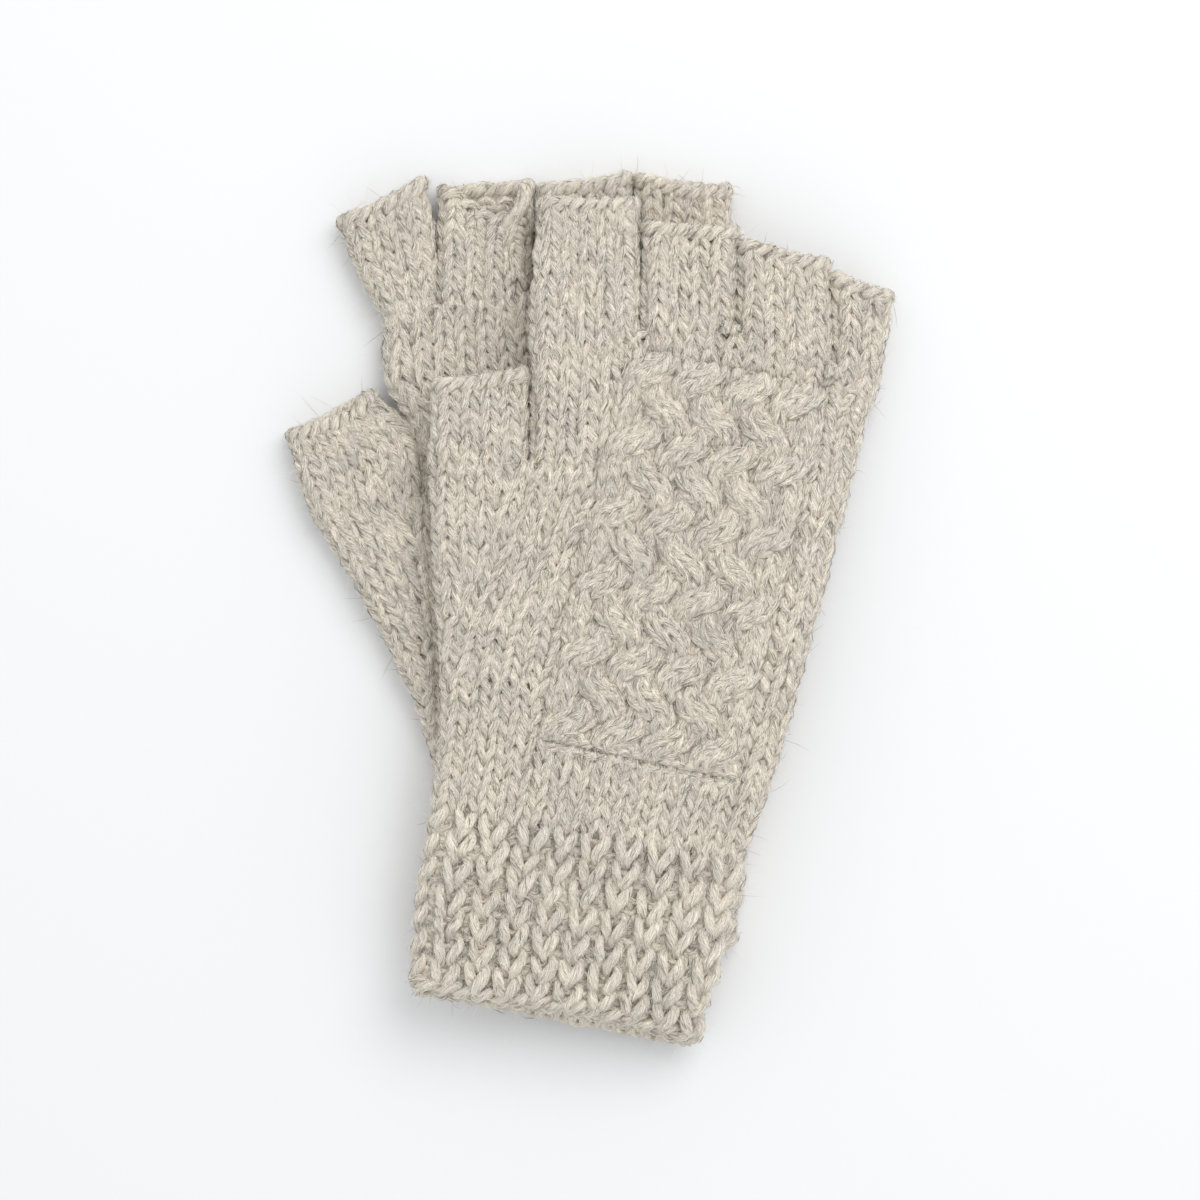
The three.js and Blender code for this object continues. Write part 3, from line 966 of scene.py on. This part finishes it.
def purl_row(yarn, panel):
    """A row of purl bumps along the panel's lower edge."""
    count = int(panel.width / PURL_WIDTH)
    turns = np.linspace(0, count, count * PURL_SEGMENTS + 1)
    across, ahead, rise = loop_path(turns)
    along = PURL_ALONG + ahead * PURL_HEIGHT
    out = PURL_OUT - rise * PURL_RELIEF
    middle = panel.place(across * panel.width / count, along, out)
    normal = np.tile([0.0, 0.0, panel.facing], (len(middle), 1))
    yarn.strand(middle, normal, PURL_YARN)


# ---------------------------------------------------------------- materials

CREAM = (0.76, 0.70, 0.575)
GREIGE = (0.66, 0.60, 0.50)
LILAC = (0.60, 0.545, 0.485)
# The streaks along the yarn are partly the fibres' own colour, partly painted shade between fibres and
# painted highlight on them.
STREAK_LIGHT = 0.55  # how much pale streaks lift the colour, as a share of how much dark ones lower it


def new_material(name, roughness, specular):
    """A material, and its shader with these two settings."""
    material = bpy.data.materials.new(name)
    material.use_nodes = True
    shader = material.node_tree.nodes["Principled BSDF"]
    shader.inputs["Roughness"].default_value = roughness
    shader.inputs["Specular IOR Level"].default_value = specular
    return material, shader


def node(tree, kind, settings=(), inputs=()):
    made = tree.nodes.new(kind)
    for key, value in settings:
        setattr(made, key, value)
    for key, value in inputs:
        if isinstance(value, bpy.types.NodeSocket):
            tree.links.new(value, made.inputs[key])
        else:
            made.inputs[key].default_value = value
    return made


def mixed(tree, blend, factor, a, b):
    made = node(tree, "ShaderNodeMix", [("data_type", "RGBA"), ("blend_type", blend)])
    for index, value in ((0, factor), (6, a), (7, b)):
        if isinstance(value, bpy.types.NodeSocket):
            tree.links.new(value, made.inputs[index])
        else:
            made.inputs[index].default_value = value
    return made.outputs[2]


def ramp(tree, factor, stops):
    made = node(tree, "ShaderNodeValToRGB", inputs=[("Fac", factor)])
    elements = made.color_ramp.elements
    while len(elements) < len(stops):
        elements.new(0.5)
    for element, (position, colour) in zip(elements, stops):
        element.position = position
        element.color = (*colour, 1)
    return made.outputs["Color"]


def noise(tree, vector, scale, detail, rough):
    inputs = [("Vector", vector), ("Scale", scale), ("Detail", detail), ("Roughness", rough)]
    return node(tree, "ShaderNodeTexNoise", inputs=inputs).outputs["Fac"]


def stretched(tree, vector, scale):
    settings = [("operation", "MULTIPLY")]
    made = node(tree, "ShaderNodeVectorMath", settings, [(0, vector), (1, scale)])
    return made.outputs["Vector"]


def grey(value):
    return (value, value, value)


def wool(name, tone, streak_depth):
    """Heathered wool: slow patches of cream, greige and lilac grey, with streaks along the yarn that
    are partly the fibres' own colour and partly painted shade and painted highlight.
    """
    material, shader = new_material(name, roughness=0.92, specular=0.2)
    tree = material.node_tree
    fibre = node(tree, "ShaderNodeAttribute", [("attribute_name", "fibre")]).outputs["Vector"]
    place = node(tree, "ShaderNodeAttribute", [("attribute_name", "place")]).outputs["Vector"]
    patches = noise(tree, place, scale=0.09, detail=3.0, rough=0.6)
    heather = ramp(tree, patches, [(0.36, LILAC), (0.5, GREIGE), (0.64, CREAM)])
    lengthwise = stretched(tree, fibre, (1.0, 1.0, 0.05))
    slubs = noise(tree, lengthwise, scale=0.75, detail=2.0, rough=0.6)
    tufts = ramp(tree, slubs, [(0.35, LILAC), (0.62, CREAM)])
    base = mixed(tree, "MIX", 0.45, heather, tufts)
    # Fine streaks along the yarn: partly fibre colour, partly painted shade and painted highlight; the
    # same noise also drives the bump.
    streaks = noise(tree, lengthwise, scale=4.2, detail=3.0, rough=0.8)
    light, dark = 1 + streak_depth * STREAK_LIGHT, 1 - streak_depth
    between = 0.5 * (light + dark)
    stops = [(0.33, grey(dark)), (0.5, grey(between)), (0.68, grey(light))]
    shade = ramp(tree, streaks, stops)
    colour = mixed(tree, "MULTIPLY", 1.0, base, shade)
    colour = mixed(tree, "MULTIPLY", 1.0, colour, (*tone, 1))
    tree.links.new(colour, shader.inputs["Base Color"])
    bump = node(
        tree,
        "ShaderNodeBump",
        inputs=[("Strength", 0.8), ("Distance", 0.3 * MM), ("Height", streaks)],
    )
    tree.links.new(bump.outputs["Normal"], shader.inputs["Normal"])
    shader.inputs["Sheen Weight"].default_value = 0.25
    shader.inputs["Sheen Roughness"].default_value = 0.6
    return material


def fibre_wool(name, colour):
    """Loose fibres: too thin to show a pattern, so each of the three shades is even."""
    material, shader = new_material(name, roughness=0.7, specular=0.25)
    shader.inputs["Base Color"].default_value = (*colour, 1)
    return material


WOOL = wool("heathered_wool", (1.18, 1.175, 1.18), 0.74)
# The cuff's wool is a lighter copy of the yarn's, with shallower streaks: painted light against the
# shade of the cuff's deeper relief.
LIGHTENED_CUFF_WOOL = wool("cuff_wool_painted_light", (1.2, 1.2, 1.205), 0.6)
EDGE_WOOL = wool("edge_wool", (1.16, 1.155, 1.16), 0.55)
# The lining's wool is darker than the yarn's: painted shade for the gaps between stitches.
SHADED_LINING = wool("lining_wool_painted_shade", (0.74, 0.73, 0.72), 0.4)
HALO = (
    fibre_wool("pale_fibre", (0.96, 0.92, 0.83)),
    fibre_wool("middling_fibre", (0.76, 0.71, 0.62)),
    # The dark fibres are partly the yarn's darker fibres, partly painted shade among the loose fibres.
    fibre_wool("dark_fibre_and_shade", (0.26, 0.23, 0.20)),
)

# ---------------------------------------------------------------- the gloves


def finish_piece(yarn, name, slot, surface, attach, *nodes):
    """The yarn, and its loose fibres in one or more objects, attached to the frame the same way."""
    yarn.along_fibres(ALONG_DENSITY)
    yarn.stray_fibres(STRAY_DENSITY)
    shown = yarn.piece(name, (surface, SHADED_LINING))
    for made in (shown, *yarn.halo_pieces(name)):
        attach(made)
    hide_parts(*nodes)


def riding(body):
    return lambda made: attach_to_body(made, body)


def bending():
    """For fabric that turns from the hand to a tube over the first stretch of the tube: bakes its
    transform into the mesh and attaches it to no body.
    """
    return lambda made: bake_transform(made)


def moved_on(stations, along):
    """The stations with the last one moved along the tube by a distance in millimetres."""
    lx, ly, rx, ry = stations[-1][:4]
    width = math.hypot(rx - lx, ry - ly)
    dx, dy = -(ry - ly) / width * along, (rx - lx) / width * along
    last = (lx + dx, ly + dy, rx + dx, ry + dy) + tuple(stations[-1][4:])
    return stations[:-1] + [last]


def finger(glove, height, name, seed):
    """A thumb or finger tube and its cast-off edge."""
    stations = glove["fingers"][name]
    tube = Tube(moved_on(stations, -EDGE * EDGE_SHARE), height)
    wide = tube.half_round(np.array([tube.length / 2]))[0]
    around = max(3, int(round(wide / WALE)))
    rows = int(round(tube.length / COURSE))
    side = glove["name"]
    body = f"{side}_{name}"
    yarn = Yarn(seed)
    pitch = tube.length / rows
    knit_round(yarn, Courses(tube, around), -pitch, 1, pitch, level=ROOT_LEVEL)
    knit_round(yarn, Courses(tube, around), 0, rows, pitch)
    yarn.lining(tube)
    attach = bending()
    finish_piece(yarn, f"knit_{body}", "yarn", WOOL, attach, body)

    edge = Yarn(seed + 1)
    lobes = 2 * int(round(EDGE_TWISTS * wide / WALE))
    rope(edge, tube, tube.length + CAST_OFF_PAST, lobes, **CAST_OFF)
    edge_node = f"{body}_cast_off_edge"
    finish_piece(edge, f"edge_{body}", "edge_yarn", EDGE_WOOL, riding(body), edge_node)


def cuff(glove, height, seed):
    """A ribbed cuff and its cast-on edge."""
    stations = glove["cuff"]
    tube = Tube(stations, height)
    around = int(round(2 * tube.half_round(np.array([tube.length / 2]))[0] / RIB))
    knitted = tube.length - RIB_START
    rows = int(round(knitted / RIB_COURSE))
    side = glove["name"]
    body = f"{side}_cuff"
    yarn = Yarn(seed)
    rib_round(yarn, tube, around, rows, knitted / rows)
    yarn.lining(tube)
    attach = bending()
    finish_piece(yarn, f"knit_{body}", "yarn", LIGHTENED_CUFF_WOOL, attach, body)

    edge = Yarn(seed + 1)
    rope(edge, tube, CAST_ON_START, 2 * int(around * CAST_ON_TWISTS), **CAST_ON)
    edge_node = f"{body}_cast_on_edge"
    finish_piece(edge, f"edge_{body}", "edge_yarn", EDGE_WOOL, riding(body), edge_node)


def hand(glove, height, seed):
    """The palm and back up to the thumb, the knuckles above it, and the woven-look panel."""
    panel = Panel(glove["panel"], height, glove["panel_side"], PANEL_LEVEL)
    side = glove["panel_side"]

    def sink(x, y):
        """How far the fabric under the panel lies back from the face of the hand."""
        across, along = panel.local(x, y)
        inside = np.minimum(
            np.minimum(across, panel.width - across), np.minimum(along, panel.tall - along)
        )
        return PANEL_SINK * smooth((inside + PANEL_MARGIN) / PANEL_RAMP)

    body = f"{glove['name']}_hand"
    palm_tube = Tube(glove["palm"], height, sink=(side, sink))
    yarn = Yarn(seed)
    rows = glove["palm_rows"]
    courses = Courses(palm_tube, HAND_STITCHES, glove["gusset"])
    knit_round(yarn, courses, 0, rows, palm_tube.length / rows)
    yarn.lining(palm_tube)
    finish_piece(yarn, f"knit_{body}", "yarn", WOOL, riding(body), body)

    top_tube = Tube(glove["knuckles"], height, rise=glove["rise"], sink=(side, sink))
    yarn = Yarn(seed + 1)
    rows = glove["knuckle_rows"]
    knit_round(yarn, Courses(top_tube, HAND_STITCHES), 0, rows, top_tube.length / rows)
    yarn.lining(top_tube)
    for place in glove["bobbles"]:
        bobble(yarn, height, *place)
    knuckles = f"knit_{glove['name']}_knuckles"
    finish_piece(yarn, knuckles, "yarn", WOOL, riding(body), body)

    yarn = Yarn(seed + 2)
    over, under = glove["weave"]
    for slot in range(STRANDS):
        knit_strand(yarn, Strand(panel, slot, over, under))
    purl_row(yarn, panel)
    panel_node = f"{glove['name']}_woven_panel"
    finish_piece(yarn, f"knit_{panel_node}", "yarn", WOOL, riding(body), panel_node)


def glove_pieces(glove, height, seed):
    hand(glove, height, seed)
    cuff(glove, height, seed + 10)
    for number, name in enumerate(glove["fingers"]):
        finger(glove, height, name, seed + 20 + 10 * number)


glove_pieces(LEFT, lower_height, seed=100)
glove_pieces(RIGHT, upper_height, seed=300)

# ---------------------------------------------------------------- floor, light and camera

# In metres, with the view straight down: the picture's width is measured at the height of the plane.
FLOOR_SIZE = 6.0
FLOOR_COLOUR = (0.83, 0.835, 0.84)
VIEW_WIDTH = 0.3243
VIEW_CENTRE = (0.00275, 0.00155)
VIEW_HEIGHT = 1.0
VIEW_PLANE = 0.02
WORLD_COLOUR = (0.98, 0.99, 1.0)
WORLD_STRENGTH = 0.86
KEY_PLACE = (0.45, 0.6, 1.1)
KEY_SIZE = 0.9
KEY_POWER = 8.0


def floor():
    half = FLOOR_SIZE / 2
    mesh = bpy.data.meshes.new("floor")
    corners = [(-half, -half, 0), (half, -half, 0), (half, half, 0), (-half, half, 0)]
    mesh.from_pydata(corners, [], [(0, 1, 2, 3)])
    made = add_object("floor", mesh)
    material, shader = new_material("white_paper", roughness=0.8, specular=0.1)
    shader.inputs["Base Color"].default_value = (*FLOOR_COLOUR, 1)
    mesh.materials.append(material)


def key_light():
    """A soft light from the upper right that points at the origin."""
    data = bpy.data.lights.new("key", "AREA")
    data.size = KEY_SIZE
    data.energy = KEY_POWER
    made = add_object("key", data)
    made.location = KEY_PLACE
    made.rotation_euler = (-Vector(KEY_PLACE)).to_track_quat("-Z", "Y").to_euler()


def studio():
    scene = bpy.context.scene
    scene.view_settings.view_transform = "Standard"
    scene.view_settings.look = "None"
    world = bpy.data.worlds.new("soft_white")
    world.use_nodes = True
    background = world.node_tree.nodes["Background"]
    background.inputs["Color"].default_value = (*WORLD_COLOUR, 1)
    background.inputs["Strength"].default_value = WORLD_STRENGTH
    scene.world = world
    key_light()


def camera():
    data = bpy.data.cameras.new("camera")
    data.lens = data.sensor_width * (VIEW_HEIGHT - VIEW_PLANE) / VIEW_WIDTH
    made = add_object("camera", data)
    made.location = (*VIEW_CENTRE, VIEW_HEIGHT)
    bpy.context.scene.camera = made


floor()
studio()
camera()
